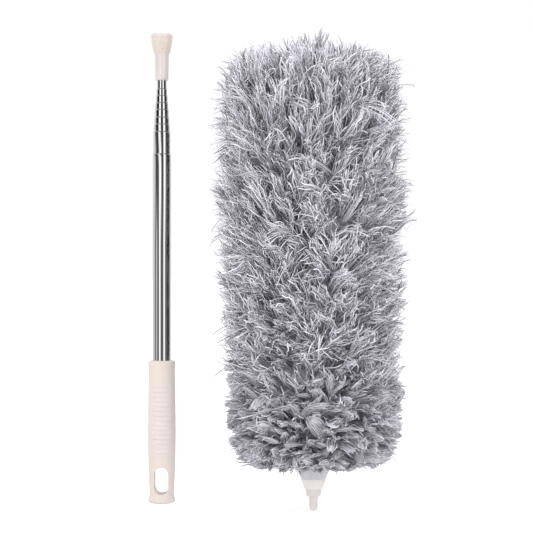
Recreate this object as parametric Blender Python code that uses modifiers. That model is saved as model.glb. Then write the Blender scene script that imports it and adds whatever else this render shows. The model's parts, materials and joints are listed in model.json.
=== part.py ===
"""Telescopic duster: a nine-section steel pole with a plastic grip and socket, and a separate
bendable microfibre head whose stepped plug pushes into the socket.

Metres, +Z up. The origin is the middle of the grip's ribbed panel, on the pole's axis. The pole
stands along Z at x = 0, collapsed. The head stands beside it along Z at x = HEAD_X, unplugged.
"""

import math

import bmesh
import bpy
from mathutils import Vector

# ---------------------------------------------------------------- driving dimensions (mm)
# pole sections, outermost (1) to innermost (9)
SECTION_R = [8.75, 8.20, 7.60, 7.10, 6.60, 6.10, 5.55, 5.00, 4.45]
SECTION_WALL = [0.25, 0.25, 0.20, 0.20, 0.20, 0.20, 0.20, 0.20, 0.25]
SECTION_TOP = [250.3, 271.2, 278.5, 284.8, 292.2, 298.5, 305.4, 311.7, 337.0]
SECTION_1_BOTTOM = -30.0
SECTION_2_BOTTOM = 0.5
MOUTH_CLEARANCE = 0.05
MOUTH_LIP = 1.2
BUSH_LENGTH = 10.0
BUSH_CLEARANCE = 0.03
BUSH_SLIT = 1.2
POLE_SIDES = 24

# grip
GRIP_R = 12.7
GRIP_TOP, GRIP_SEAM, GRIP_BOTTOM = 56.0, -33.8, -77.6
GRIP_BORE_R = 9.0
GRIP_SIDES = 36
RIB_PITCH, RIB_GROOVE, RIB_DEPTH, RIB_COUNT = 4.4, 1.5, 0.45, 15
RIB_HALF_ANGLE = 40.0
SLOT_HALF_WIDTH, SLOT_TOP, SLOT_BOTTOM = 6.45, -43.7, -69.1

# socket on the innermost section
RIM_Z, RIM_R = 362.4, 10.35
CUP_NECK_Z, CUP_FLOOR_Z = 334.6, 341.0
SLEEVE_BOTTOM = 318.9

# head
HEAD_X = 142.5
PLUG_TIP_Z, PLUG_STEP_Z, PLUG_TOP_Z = -84.8, -71.4, -64.2
CAP_TOP_Z = -54.5
HINGE_Z = [90.0, 222.0]
HINGE_GAP = 5.2
WIRE_R, WIRE_EYE_R, WIRE_GAP = 1.6, 2.4, 2.7
FOAM_R, FOAM_BORE_R = 8.0, 1.95
COVER_R, COVER_BORE_R = 10.0, 8.3
PILE_BORE_R = 10.3
PILE_BOTTOM, PILE_TOP = -43.2, 352.0
PILE_OUTLINE = [
    (-43.2, 58.0), (-36.0, 70.0), (-15.0, 76.0), (30.0, 79.0), (89.7, 81.5), (90.3, 81.5),
    (150.0, 83.5), (221.7, 85.5), (222.3, 85.5), (281.0, 83.0), (318.0, 73.0), (340.0, 52.0),
    (352.0, 24.0),
]
HEAD_SIDES = 28

MM = 0.001
STEEL = ((0.72, 0.72, 0.73), 0.16, 1.0)
IVORY = ((0.86, 0.79, 0.74), 0.42, 0.0)
PLUG_IVORY = ((0.84, 0.81, 0.76), 0.45, 0.0)
BRASS = ((0.72, 0.55, 0.28), 0.35, 1.0)
BLACK_PLASTIC = ((0.06, 0.06, 0.065), 0.5, 0.0)
WHITE_FOAM = ((0.80, 0.80, 0.80), 0.9, 0.0)
GREY_CLOTH = ((0.45, 0.45, 0.48), 0.95, 0.0)
GREY_PILE = ((0.50, 0.50, 0.54), 0.95, 0.0)
SILICONE = ((0.30, 0.30, 0.32), 0.6, 0.0)


# ---------------------------------------------------------------- helpers
def clear_scene():
    for obj in list(bpy.data.objects):
        bpy.data.objects.remove(obj, do_unlink=True)
    for coll in list(bpy.data.collections):
        bpy.data.collections.remove(coll)


def new_collection(name, hidden=False):
    coll = bpy.data.collections.new(name)
    bpy.context.scene.collection.children.link(coll)
    coll.hide_render = hidden
    return coll


def make_material(name, look):
    colour, rough, metal = look
    mat = bpy.data.materials.new(name)
    mat.use_nodes = True
    shader = mat.node_tree.nodes["Principled BSDF"]
    shader.inputs["Base Color"].default_value = (*colour, 1.0)
    shader.inputs["Roughness"].default_value = rough
    shader.inputs["Metallic"].default_value = metal
    return mat


def make_empty(name, where, parent=None):
    """A joint's frame: an empty at a point on the joint's axis."""
    empty = bpy.data.objects.new(name, None)
    empty.empty_display_size = 0.01
    parts.objects.link(empty)
    world = Vector(where) * MM
    if parent is None:
        empty.location = world
    else:
        empty.parent = parent
        empty.location = world - spots[parent.name]
    spots[empty.name] = world
    return empty


def add_part(name, mesh, look, axis_x, parent):
    """Links a mesh whose points are written about the axis x = axis_x, under its joint's empty."""
    obj = bpy.data.objects.new(name, mesh)
    mesh.materials.append(make_material(name + "_mat", look))
    parts.objects.link(obj)
    obj.parent = parent
    obj.location = Vector((axis_x * MM, 0.0, 0.0)) - spots[parent.name]
    return obj


def add_cutter(name, mesh, axis_x=0.0):
    obj = bpy.data.objects.new(name, mesh)
    cutters.objects.link(obj)
    obj.location = (axis_x * MM, 0.0, 0.0)
    obj.hide_render = True
    obj.display_type = "WIRE"
    return obj


def turned(name, profile, look, axis_x, parent, sides, ring=True):
    """A turned piece. A ring's profile is a closed loop of (r, z), down its outer side and up its
    bore; a solid's profile runs from the axis at the top to the axis at the bottom."""
    mesh = bpy.data.meshes.new(name)
    points = [(r * MM, 0.0, z * MM) for r, z in profile]
    count = len(points)
    last = count if ring else count - 1
    mesh.from_pydata(points, [(i, (i + 1) % count) for i in range(last)], [])
    obj = add_part(name, mesh, look, axis_x, parent)
    screw = obj.modifiers.new("turn", "SCREW")
    screw.axis = "Z"
    screw.angle = math.tau
    screw.steps = sides
    screw.render_steps = sides
    screw.use_merge_vertices = True
    screw.merge_threshold = 0.00001
    screw.use_smooth_shade = True
    return obj


def cut(obj, cutter, name="cut"):
    boolean = obj.modifiers.new(name, "BOOLEAN")
    boolean.operation = "DIFFERENCE"
    boolean.solver = "EXACT"
    boolean.object = cutter
    return boolean


def prism(bm, outline, direction, depth):
    """Adds a prism: a flat outline of 3-D points (mm) pushed by depth along direction."""
    face = bm.faces.new([bm.verts.new(Vector(p) * MM) for p in outline])
    made = bmesh.ops.extrude_face_region(bm, geom=[face])
    push = Vector(direction) * depth * MM
    bmesh.ops.translate(
        bm, vec=push, verts=[v for v in made["geom"] if isinstance(v, bmesh.types.BMVert)]
    )


def mesh_of(name, bm):
    bmesh.ops.recalc_face_normals(bm, faces=bm.faces)
    mesh = bpy.data.meshes.new(name)
    bm.to_mesh(mesh)
    bm.free()
    return mesh


def box_mesh(name, low, high):
    bm = bmesh.new()
    bmesh.ops.create_cube(bm, size=1.0)
    size = Vector(high) - Vector(low)
    bmesh.ops.scale(bm, vec=size * MM, verts=bm.verts)
    bmesh.ops.translate(bm, vec=(Vector(low) + size / 2) * MM, verts=bm.verts)
    return mesh_of(name, bm)


# ---------------------------------------------------------------- the pole
def section_bottom(k):
    """Each inner section's tail stands a little higher than the last, by its exposed length."""
    if k == 0:
        return SECTION_1_BOTTOM
    return SECTION_2_BOTTOM + SECTION_TOP[k - 1] - SECTION_TOP[0]


def build_section(k, parent):
    r, wall, top = SECTION_R[k], SECTION_WALL[k], SECTION_TOP[k]
    bottom = section_bottom(k)
    if k < 8:
        mouth = SECTION_R[k + 1] + MOUTH_CLEARANCE
        profile = [
            (mouth, top), (r - 0.15, top), (r, top - 0.4), (r, bottom),
            (r - wall, bottom), (r - wall, top - MOUTH_LIP - 0.6), (mouth, top - MOUTH_LIP),
        ]
    else:
        profile = [(r - wall, top), (r, top), (r, bottom), (r - wall, bottom)]
    turned(f"tube_{k + 1}", profile, STEEL, 0.0, parent, POLE_SIDES)


def build_bush(k, parent):
    """The split friction bush on the tail of section k, filling the gap to the section outside."""
    inner = SECTION_R[k] + BUSH_CLEARANCE
    outer = SECTION_R[k - 1] - SECTION_WALL[k - 1] - BUSH_CLEARANCE
    low = section_bottom(k) + 1.2
    high = low + BUSH_LENGTH
    look = BLACK_PLASTIC if k < 3 else BRASS
    bush = turned(
        f"friction_bush_{k + 1}",
        [(inner, high), (outer, high), (outer, low), (inner, low)],
        look, 0.0, parent, POLE_SIDES,
    )
    slit = add_cutter(
        f"slit_{k + 1}",
        box_mesh(
            f"slit_{k + 1}",
            (inner * 0.5, -BUSH_SLIT / 2, low - 2), (outer * 1.6, BUSH_SLIT / 2, high + 2),
        ),
    )
    cut(bush, slit)


def arc(radius, start, end, step, z):
    """Points on an arc about the pole's axis; angles in degrees from +X."""
    count = int(round(abs(end - start) / step))
    angles = [math.radians(start + (end - start) * i / count) for i in range(count + 1)]
    return [(radius * math.cos(a), radius * math.sin(a), z) for a in angles]


def rib_cutter():
    """Shallow grooves that leave ribs, on a rectangular panel at the grip's front and back."""
    bm = bmesh.new()
    first = -RIB_PITCH * (RIB_COUNT - 1) / 2
    step = 360.0 / GRIP_SIDES
    for facing in (270.0, 90.0):
        low, high = facing - RIB_HALF_ANGLE, facing + RIB_HALF_ANGLE
        for i in range(RIB_COUNT):
            z = first + i * RIB_PITCH - RIB_GROOVE / 2
            outline = arc(GRIP_R - RIB_DEPTH, low, high, step, z)
            outline += arc(GRIP_R + 1.5, high, low, step, z)
            prism(bm, outline, (0, 0, 1), RIB_GROOVE)
    return add_cutter("rib_grooves", mesh_of("rib_grooves", bm))


def slot_cutter():
    """The hanging slot: a stadium pushed through the grip along Y."""
    bm = bmesh.new()
    r = SLOT_HALF_WIDTH
    outline = []
    for centre, start in ((SLOT_TOP - r, 0.0), (SLOT_BOTTOM + r, 180.0)):
        for i in range(9):
            a = math.radians(start + i * 22.5)
            outline.append((r * math.cos(a), -GRIP_R - 5, centre + r * math.sin(a)))
    prism(bm, outline, (0, 1, 0), 2 * GRIP_R + 10)
    return add_cutter("hanging_slot", mesh_of("hanging_slot", bm))


def build_grip(root):
    sleeve = turned(
        "grip_sleeve",
        [
            (GRIP_BORE_R, 40.0), (10.3, 40.0), (10.3, 50.4), (GRIP_R, 50.4),
            (GRIP_R, GRIP_SEAM + 0.2), (10.4, GRIP_SEAM + 0.2), (10.4, -22.0),
            (GRIP_BORE_R, -22.0),
        ],
        IVORY, 0.0, root, GRIP_SIDES,
    )
    cut(sleeve, rib_cutter(), "ribs")
    turned(
        "grip_end_ring",
        [
            (GRIP_BORE_R, GRIP_TOP), (GRIP_R - 0.9, GRIP_TOP), (GRIP_R, GRIP_TOP - 0.9),
            (GRIP_R, 50.7), (10.0, 50.7), (10.0, 40.4), (GRIP_BORE_R, 40.4),
        ],
        IVORY, 0.0, root, GRIP_SIDES,
    )
    hanger = turned(
        "hanger_end_cap",
        [
            (0.0, -32.0), (9.15, -32.0), (9.15, -22.6), (10.1, -22.6), (10.1, GRIP_SEAM - 0.1),
            (12.5, GRIP_SEAM - 0.1), (12.35, -40.0), (12.0, -50.0), (11.75, -60.0),
            (11.25, -69.0), (11.45, -71.0), (12.75, -74.6), (12.5, -76.4), (11.0, GRIP_BOTTOM),
            (0.0, GRIP_BOTTOM),
        ],
        IVORY, 0.0, root, GRIP_SIDES, ring=False,
    )
    cut(hanger, slot_cutter(), "slot")
    turned(
        "tail_plug",
        [
            (0.0, -1.0), (7.85, -1.0), (8.35, -2.0), (8.35, -30.4), (8.75, -30.4), (8.75, -31.6),
            (6.2, -31.6), (6.2, -3.5), (0.0, -3.5),
        ],
        BLACK_PLASTIC, 0.0, root, POLE_SIDES, ring=False,
    )


def build_socket(parent):
    turned(
        "socket_sleeve",
        [
            (4.7, 339.0), (5.45, 339.0), (5.45, CUP_NECK_Z - 0.2), (6.6, CUP_NECK_Z - 0.2),
            (6.4, SLEEVE_BOTTOM + 0.4), (6.05, SLEEVE_BOTTOM), (4.7, SLEEVE_BOTTOM),
        ],
        IVORY, 0.0, parent, POLE_SIDES,
    )
    # the cup: a solid turned piece with the stepped recess above its floor and a bore below it
    turned(
        "socket_cup",
        [
            (0.0, CUP_FLOOR_Z), (4.3, CUP_FLOOR_Z), (4.85, 355.0), (7.15, 355.2), (8.35, RIM_Z),
            (9.9, RIM_Z), (RIM_R, RIM_Z - 0.5), (RIM_R, 358.6), (10.0, 354.0), (8.6, 347.0),
            (7.35, 342.4), (6.95, 338.0), (6.8, CUP_NECK_Z), (5.75, CUP_NECK_Z),
            (5.75, 339.4), (0.0, 339.4),
        ],
        IVORY, 0.0, parent, HEAD_SIDES, ring=False,
    )


# ---------------------------------------------------------------- the head
def build_head(fit, bends):
    holders = [fit, bends[0], bends[1]]
    names = ["lower", "middle", "upper"]

    # the plug has a blind bore from its top for the core wire
    turned(
        "head_plug",
        [
            (0.0, -70.0), (FOAM_BORE_R, -70.0), (FOAM_BORE_R, -38.0), (6.4, -38.0),
            (6.4, -54.0), (6.9, -54.3), (6.9, PLUG_TOP_Z + 0.2), (7.95, PLUG_TOP_Z + 0.2),
            (6.8, PLUG_STEP_Z), (4.45, PLUG_STEP_Z), (3.95, -80.5), (3.0, -83.9),
            (1.6, PLUG_TIP_Z), (0.0, PLUG_TIP_Z),
        ],
        PLUG_IVORY, HEAD_X, fit, HEAD_SIDES, ring=False,
    )
    turned(
        "head_plug_cap",
        [
            (7.2, -46.0), (10.2, -46.0), (10.2, CAP_TOP_Z), (11.7, CAP_TOP_Z),
            (11.5, -56.5), (8.95, PLUG_TOP_Z), (8.25, PLUG_TOP_Z),
            (8.25, PLUG_TOP_Z + 0.5), (7.2, PLUG_TOP_Z + 0.5),
        ],
        PLUG_IVORY, HEAD_X, fit, HEAD_SIDES,
    )
    turned(
        "cover_skirt",
        [
            (13.8, -43.9), (15.0, -43.9), (14.2, -48.0), (12.1, CAP_TOP_Z + 0.2),
            (10.5, CAP_TOP_Z + 0.2), (12.4, -48.0),
        ],
        GREY_CLOTH, HEAD_X, fit, HEAD_SIDES,
    )

    # core wire: each piece ends in an eye on the next hinge, and the next piece starts clear of it
    wire_low = [-69.5, HINGE_Z[0] + WIRE_GAP, HINGE_Z[1] + WIRE_GAP]
    wire_high = [HINGE_Z[0], HINGE_Z[1], 336.0]
    for name, low, high, holder in zip(names, wire_low, wire_high, holders):
        if name == "upper":
            profile = [(0.0, high), (WIRE_R, high)]
        else:
            profile = [(0.0, high + WIRE_EYE_R)]
            for degrees in (60, 30, 0, -30):
                a = math.radians(degrees)
                profile.append(
                    (WIRE_EYE_R * math.cos(a), high + WIRE_EYE_R * math.sin(a))
                )
            profile.append((WIRE_R, high - math.sqrt(WIRE_EYE_R**2 - WIRE_R**2)))
        profile += [(WIRE_R, low), (0.0, low)]
        turned(f"core_wire_{name}", profile, STEEL, HEAD_X, holder, 12, ring=False)

    low = [-37.4, HINGE_Z[0] + HINGE_GAP, HINGE_Z[1] + HINGE_GAP]
    high = [HINGE_Z[0] - HINGE_GAP, HINGE_Z[1] - HINGE_GAP, 334.0]
    for name, z0, z1, holder in zip(names, low, high, holders):
        turned(
            f"foam_core_{name}",
            [(FOAM_BORE_R, z1), (FOAM_R, z1), (FOAM_R, z0), (FOAM_BORE_R, z0)],
            WHITE_FOAM, HEAD_X, holder, 16,
        )
    low[0] = PILE_BOTTOM
    for name, z0, z1, holder in zip(names, low, high, holders):
        turned(
            f"cover_backing_{name}",
            [(COVER_BORE_R, z1), (COVER_R, z1), (COVER_R, z0), (COVER_BORE_R, z0)],
            GREY_CLOTH, HEAD_X, holder, 16,
        )
    turned(
        "core_tip_cap",
        [
            (0.0, 344.0), (5.0, 343.0), (7.6, 340.5), (8.0, 338.0), (8.0, 334.5),
            (2.2, 334.5), (2.2, 338.5), (0.0, 338.5),
        ],
        SILICONE, HEAD_X, bends[1], 16, ring=False,
    )

    # the pile: one simple closed ring of fibre for each length of the core
    spans = [(PILE_BOTTOM, 89.7), (90.3, 221.7), (222.3, PILE_TOP)]
    for name, (z0, z1), holder in zip(names, spans, holders):
        inside = [(z, r) for z, r in PILE_OUTLINE if z0 <= z <= z1]
        profile = [(PILE_BORE_R, z1)] + [(r, z) for z, r in reversed(inside)]
        profile.append((PILE_BORE_R, z0))
        turned(f"fibre_pile_{name}", profile, GREY_PILE, HEAD_X, holder, HEAD_SIDES)


# ---------------------------------------------------------------- assembly
clear_scene()
parts = new_collection("telescopic_duster")
cutters = new_collection("cutters", hidden=True)
spots = {}

pole_root = make_empty("pole_root", (0, 0, 0))
build_grip(pole_root)
build_section(0, pole_root)
holder = pole_root
for k in range(1, 9):
    holder = make_empty(f"slide_tube_{k + 1}", (0, 0, section_bottom(k)), holder)
    build_section(k, holder)
    build_bush(k, holder)
build_socket(holder)

head_fit = make_empty("head_fit", (HEAD_X, 0, PLUG_TOP_Z), holder)
bend_lower = make_empty("bend_lower", (HEAD_X, 0, HINGE_Z[0]), head_fit)
bend_upper = make_empty("bend_upper", (HEAD_X, 0, HINGE_Z[1]), bend_lower)
build_head(head_fit, [bend_lower, bend_upper])
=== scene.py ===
import json
import math

import bmesh
import bpy
import numpy as np
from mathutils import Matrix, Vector

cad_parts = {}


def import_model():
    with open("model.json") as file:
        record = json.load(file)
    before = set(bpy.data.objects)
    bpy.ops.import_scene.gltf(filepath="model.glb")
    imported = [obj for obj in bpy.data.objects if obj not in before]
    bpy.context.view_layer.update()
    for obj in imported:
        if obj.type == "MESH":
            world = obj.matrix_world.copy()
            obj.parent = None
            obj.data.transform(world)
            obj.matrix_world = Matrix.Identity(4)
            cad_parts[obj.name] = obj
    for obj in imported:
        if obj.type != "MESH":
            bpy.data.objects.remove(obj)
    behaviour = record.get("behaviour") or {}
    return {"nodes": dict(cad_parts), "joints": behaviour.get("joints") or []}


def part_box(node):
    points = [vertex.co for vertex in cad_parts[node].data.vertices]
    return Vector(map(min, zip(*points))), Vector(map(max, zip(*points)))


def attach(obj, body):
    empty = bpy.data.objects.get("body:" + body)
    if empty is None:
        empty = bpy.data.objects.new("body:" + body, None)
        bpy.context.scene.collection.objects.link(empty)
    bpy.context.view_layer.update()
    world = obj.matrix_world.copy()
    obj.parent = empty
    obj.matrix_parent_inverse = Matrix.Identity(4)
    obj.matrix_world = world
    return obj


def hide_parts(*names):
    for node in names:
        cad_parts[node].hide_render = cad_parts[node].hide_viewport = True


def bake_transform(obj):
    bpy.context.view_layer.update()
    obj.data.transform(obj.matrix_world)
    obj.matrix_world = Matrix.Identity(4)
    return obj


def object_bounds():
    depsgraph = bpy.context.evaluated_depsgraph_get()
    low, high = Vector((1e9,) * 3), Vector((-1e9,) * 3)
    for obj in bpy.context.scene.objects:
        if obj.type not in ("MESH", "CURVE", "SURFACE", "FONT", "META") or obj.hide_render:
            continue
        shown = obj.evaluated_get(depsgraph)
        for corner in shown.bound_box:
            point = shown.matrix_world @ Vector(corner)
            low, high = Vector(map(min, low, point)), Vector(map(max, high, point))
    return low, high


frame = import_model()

# The looks of the telescopic duster: smooth turned steel, moulded ivory plastic, and a microfibre
# head whose strands and petals are real geometry. Lengths are in millimetres until they become
# mesh points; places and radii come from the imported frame's boxes.

MM = 0.001
cad_low, cad_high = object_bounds()

bpy.context.scene.view_settings.view_transform = "Standard"
bpy.context.scene.view_settings.look = "None"


def mm_box(node):
    low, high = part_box(node)
    return Vector(low) / MM, Vector(high) / MM


# ------------------------------------------------------------------ materials
def new_material(name):
    mat = bpy.data.materials.new(name)
    mat.use_nodes = True
    tree = mat.node_tree
    tree.nodes.clear()
    out = tree.nodes.new("ShaderNodeOutputMaterial")
    shader = tree.nodes.new("ShaderNodeBsdfPrincipled")
    tree.links.new(shader.outputs[0], out.inputs["Surface"])
    return mat, tree, shader


def put(tree, socket, value):
    if isinstance(value, bpy.types.NodeSocket):
        tree.links.new(value, socket)
    else:
        socket.default_value = value


def maths(tree, kind, a, b=None, c=None, clamp=False):
    n = tree.nodes.new("ShaderNodeMath")
    n.operation = kind
    n.use_clamp = clamp
    for i, v in enumerate((a, b, c)):
        if v is not None:
            put(tree, n.inputs[i], v)
    return n.outputs[0]


def mix_colour(tree, factor, a, b, kind="MIX"):
    n = tree.nodes.new("ShaderNodeMix")
    n.data_type = "RGBA"
    n.blend_type = kind
    put(tree, n.inputs[0], factor)
    put(tree, n.inputs[6], (*a, 1.0) if isinstance(a, tuple) and len(a) == 3 else a)
    put(tree, n.inputs[7], (*b, 1.0) if isinstance(b, tuple) and len(b) == 3 else b)
    return n.outputs[2]


def ramp(tree, factor, stops, kind="LINEAR"):
    n = tree.nodes.new("ShaderNodeValToRGB")
    n.color_ramp.interpolation = kind
    while len(n.color_ramp.elements) > 1:
        n.color_ramp.elements.remove(n.color_ramp.elements[-1])
    for i, (place, colour) in enumerate(stops):
        colour = (colour,) * 3 if isinstance(colour, float) else colour
        e = n.color_ramp.elements[0] if i == 0 else n.color_ramp.elements.new(place)
        e.position = place
        e.color = (*colour, 1.0)
    put(tree, n.inputs[0], factor)
    return n.outputs[0]


def noise(tree, vector, scale, detail=3.0, rough=0.55, dimensions="3D"):
    n = tree.nodes.new("ShaderNodeTexNoise")
    n.noise_dimensions = dimensions
    n.inputs["Scale"].default_value = scale
    n.inputs["Detail"].default_value = detail
    n.inputs["Roughness"].default_value = rough
    tree.links.new(vector, n.inputs["Vector"])
    return n.outputs["Fac"]


def object_point(tree, scale=(1.0, 1.0, 1.0)):
    coord = tree.nodes.new("ShaderNodeTexCoord")
    m = tree.nodes.new("ShaderNodeMapping")
    m.inputs["Scale"].default_value = scale
    tree.links.new(coord.outputs["Object"], m.inputs["Vector"])
    return m.outputs["Vector"]


def bump(tree, shader, height, distance, strength=1.0):
    b = tree.nodes.new("ShaderNodeBump")
    b.inputs["Distance"].default_value = distance
    b.inputs["Strength"].default_value = strength
    tree.links.new(height, b.inputs["Height"])
    tree.links.new(b.outputs["Normal"], shader.inputs["Normal"])


def moulded_plastic(name, colour, warm, rough=0.42, spot=0.03, panel=None):
    """Satin moulded plastic: a slow drift between two tints, fine pores and slightly uneven gloss. The
    ribbed panels, front and back, can have a tint of their own."""
    mat, tree, shader = new_material(name)
    drift = noise(tree, object_point(tree, (18, 18, 9)), 1.0, 2.0)
    speck = noise(tree, object_point(tree), 900.0, 3.0, 0.6)
    tint = mix_colour(tree, ramp(tree, drift, [(0.35, 0.0), (0.65, 1.0)]), colour, warm)
    if panel is not None:
        sep = tree.nodes.new("ShaderNodeSeparateXYZ")
        tree.links.new(object_point(tree, (1000.0, 1000.0, 1000.0)), sep.inputs[0])
        across = maths(tree, "SUBTRACT", 9.4, maths(tree, "ABSOLUTE", sep.outputs[0]), clamp=True)
        along = maths(tree, "SUBTRACT", 34.2, maths(tree, "ABSOLUTE", sep.outputs[2]), clamp=True)
        tint = mix_colour(tree, maths(tree, "MULTIPLY", across, along), tint, panel)
    shade = maths(tree, "MULTIPLY_ADD", speck, spot, 1.0 - spot / 2)
    n = tree.nodes.new("ShaderNodeVectorMath")
    n.operation = "SCALE"
    tree.links.new(tint, n.inputs[0])
    tree.links.new(shade, n.inputs["Scale"])
    tree.links.new(n.outputs[0], shader.inputs["Base Color"])
    patch = noise(tree, object_point(tree), 60.0, 2.0)
    tree.links.new(maths(tree, "MULTIPLY_ADD", patch, 0.14, rough - 0.07), shader.inputs["Roughness"])
    shader.inputs["Specular IOR Level"].default_value = 0.42
    shader.inputs["Subsurface Weight"].default_value = 0.0
    bump(tree, shader, speck, 0.00006, 0.5)
    return mat


def socket_plastic(name):
    """Glossy moulded plastic: a rosy rim band, a creamy fluted body and a cooler, glossier neck."""
    mat, tree, shader = new_material(name)
    point = object_point(tree)
    sep = tree.nodes.new("ShaderNodeSeparateXYZ")
    tree.links.new(point, sep.inputs[0])
    drift = noise(tree, object_point(tree, (90, 90, 40)), 1.0, 2.0)
    turn = maths(tree, "ARCTAN2", sep.outputs[1], sep.outputs[0])
    arch = maths(tree, "ABSOLUTE", maths(tree, "COSINE", maths(tree, "MULTIPLY_ADD", turn, 3.5, 1.44)))
    arch = maths(tree, "MULTIPLY", maths(tree, "POWER", arch, 0.7), 0.0010)
    below = maths(tree, "SUBTRACT", maths(tree, "ADD", arch, 0.3425), sep.outputs[2])
    neck = ramp(tree, maths(tree, "MULTIPLY_ADD", below, 1000.0, 0.4, clamp=True), [(0.0, 0.0), (1.0, 1.0)])
    rim = ramp(tree, maths(tree, "MULTIPLY_ADD", sep.outputs[2], 1000.0, -358.0, clamp=True), [(0.0, 0.0), (1.0, 1.0)])
    body = mix_colour(tree, drift, (0.57, 0.505, 0.435), (0.555, 0.495, 0.445))
    cool = mix_colour(tree, ramp(tree, drift, [(0.4, 0.0), (0.6, 1.0)]), (0.545, 0.495, 0.490), (0.535, 0.495, 0.475))
    rose = mix_colour(tree, drift, (0.57, 0.49, 0.455), (0.56, 0.49, 0.465))
    tint = mix_colour(tree, rim, mix_colour(tree, neck, body, cool), rose)
    speck = noise(tree, point, 900.0, 3.0, 0.6)
    n = tree.nodes.new("ShaderNodeVectorMath")
    n.operation = "SCALE"
    tree.links.new(tint, n.inputs[0])
    tree.links.new(maths(tree, "MULTIPLY_ADD", speck, 0.03, 0.985), n.inputs["Scale"])
    tree.links.new(n.outputs[0], shader.inputs["Base Color"])
    rough = maths(tree, "MULTIPLY_ADD", neck, -0.14, 0.30)
    tree.links.new(maths(tree, "MULTIPLY_ADD", noise(tree, point, 60.0, 2.0), 0.06, rough), shader.inputs["Roughness"])
    shader.inputs["Specular IOR Level"].default_value = 0.6
    shader.inputs["Coat Weight"].default_value = 1.0
    shader.inputs["Coat Roughness"].default_value = 0.12
    bump(tree, shader, speck, 0.00003, 0.4)
    return mat


def drawn_steel(name, colour, rough, fine=1.0):
    """Polished drawn tube: bright metal with faint lines along the draw and small smudges."""
    mat, tree, shader = new_material(name)
    lines = noise(tree, object_point(tree, (2600, 2600, 14)), 1.0, 2.0, 0.6)
    smudge = noise(tree, object_point(tree, (40, 40, 26)), 1.0, 3.0, 0.6)
    tone = maths(tree, "MULTIPLY_ADD", lines, 0.16, 0.90)
    n = tree.nodes.new("ShaderNodeVectorMath")
    n.operation = "SCALE"
    n.inputs[0].default_value = colour
    tree.links.new(tone, n.inputs["Scale"])
    tree.links.new(n.outputs[0], shader.inputs["Base Color"])
    shader.inputs["Metallic"].default_value = 1.0
    r = maths(tree, "MULTIPLY_ADD", smudge, 0.08 * fine, rough - 0.04 * fine)
    r = maths(tree, "MULTIPLY_ADD", lines, 0.03, r)
    tree.links.new(r, shader.inputs["Roughness"])
    bump(tree, shader, lines, 0.000012, 0.35)
    return mat


def knit_cloth(name, dark, light, scale=1500.0):
    """Fine knitted polyester: crossing yarn waves with a soft sheen."""
    mat, tree, shader = new_material(name)
    point = object_point(tree)
    waves = []
    for direction in ("X", "Z"):
        w = tree.nodes.new("ShaderNodeTexWave")
        w.bands_direction = direction
        w.inputs["Scale"].default_value = scale / 10
        w.inputs["Distortion"].default_value = 2.5
        w.inputs["Detail"].default_value = 1.0
        tree.links.new(point, w.inputs["Vector"])
        waves.append(w.outputs["Fac"])
    weave = maths(tree, "MULTIPLY", waves[0], waves[1])
    blotch = noise(tree, point, 120.0, 3.0)
    both = maths(tree, "MULTIPLY_ADD", blotch, 0.6, maths(tree, "MULTIPLY", weave, 0.5), clamp=True)
    tree.links.new(mix_colour(tree, both, dark, light), shader.inputs["Base Color"])
    tree.links.new(maths(tree, "MULTIPLY_ADD", weave, 0.12, 0.78), shader.inputs["Roughness"])
    shader.inputs["Sheen Weight"].default_value = 0.35
    shader.inputs["Sheen Roughness"].default_value = 0.4
    shader.inputs["Specular IOR Level"].default_value = 0.25
    bump(tree, shader, weave, 0.0002, 0.6)
    return mat


def speckled(name, dark, light, rough, metal=0.0, scale=300.0, depth=0.0001):
    mat, tree, shader = new_material(name)
    f = noise(tree, object_point(tree), scale, 4.0, 0.6)
    tree.links.new(mix_colour(tree, ramp(tree, f, [(0.3, 0.0), (0.7, 1.0)]), dark, light), shader.inputs["Base Color"])
    tree.links.new(maths(tree, "MULTIPLY_ADD", f, 0.2, rough - 0.1), shader.inputs["Roughness"])
    shader.inputs["Metallic"].default_value = metal
    bump(tree, shader, f, depth, 0.6)
    return mat


TONES = 64  # colour lanes across the strands' map; a strand's lane is its tone, dark to light


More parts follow.
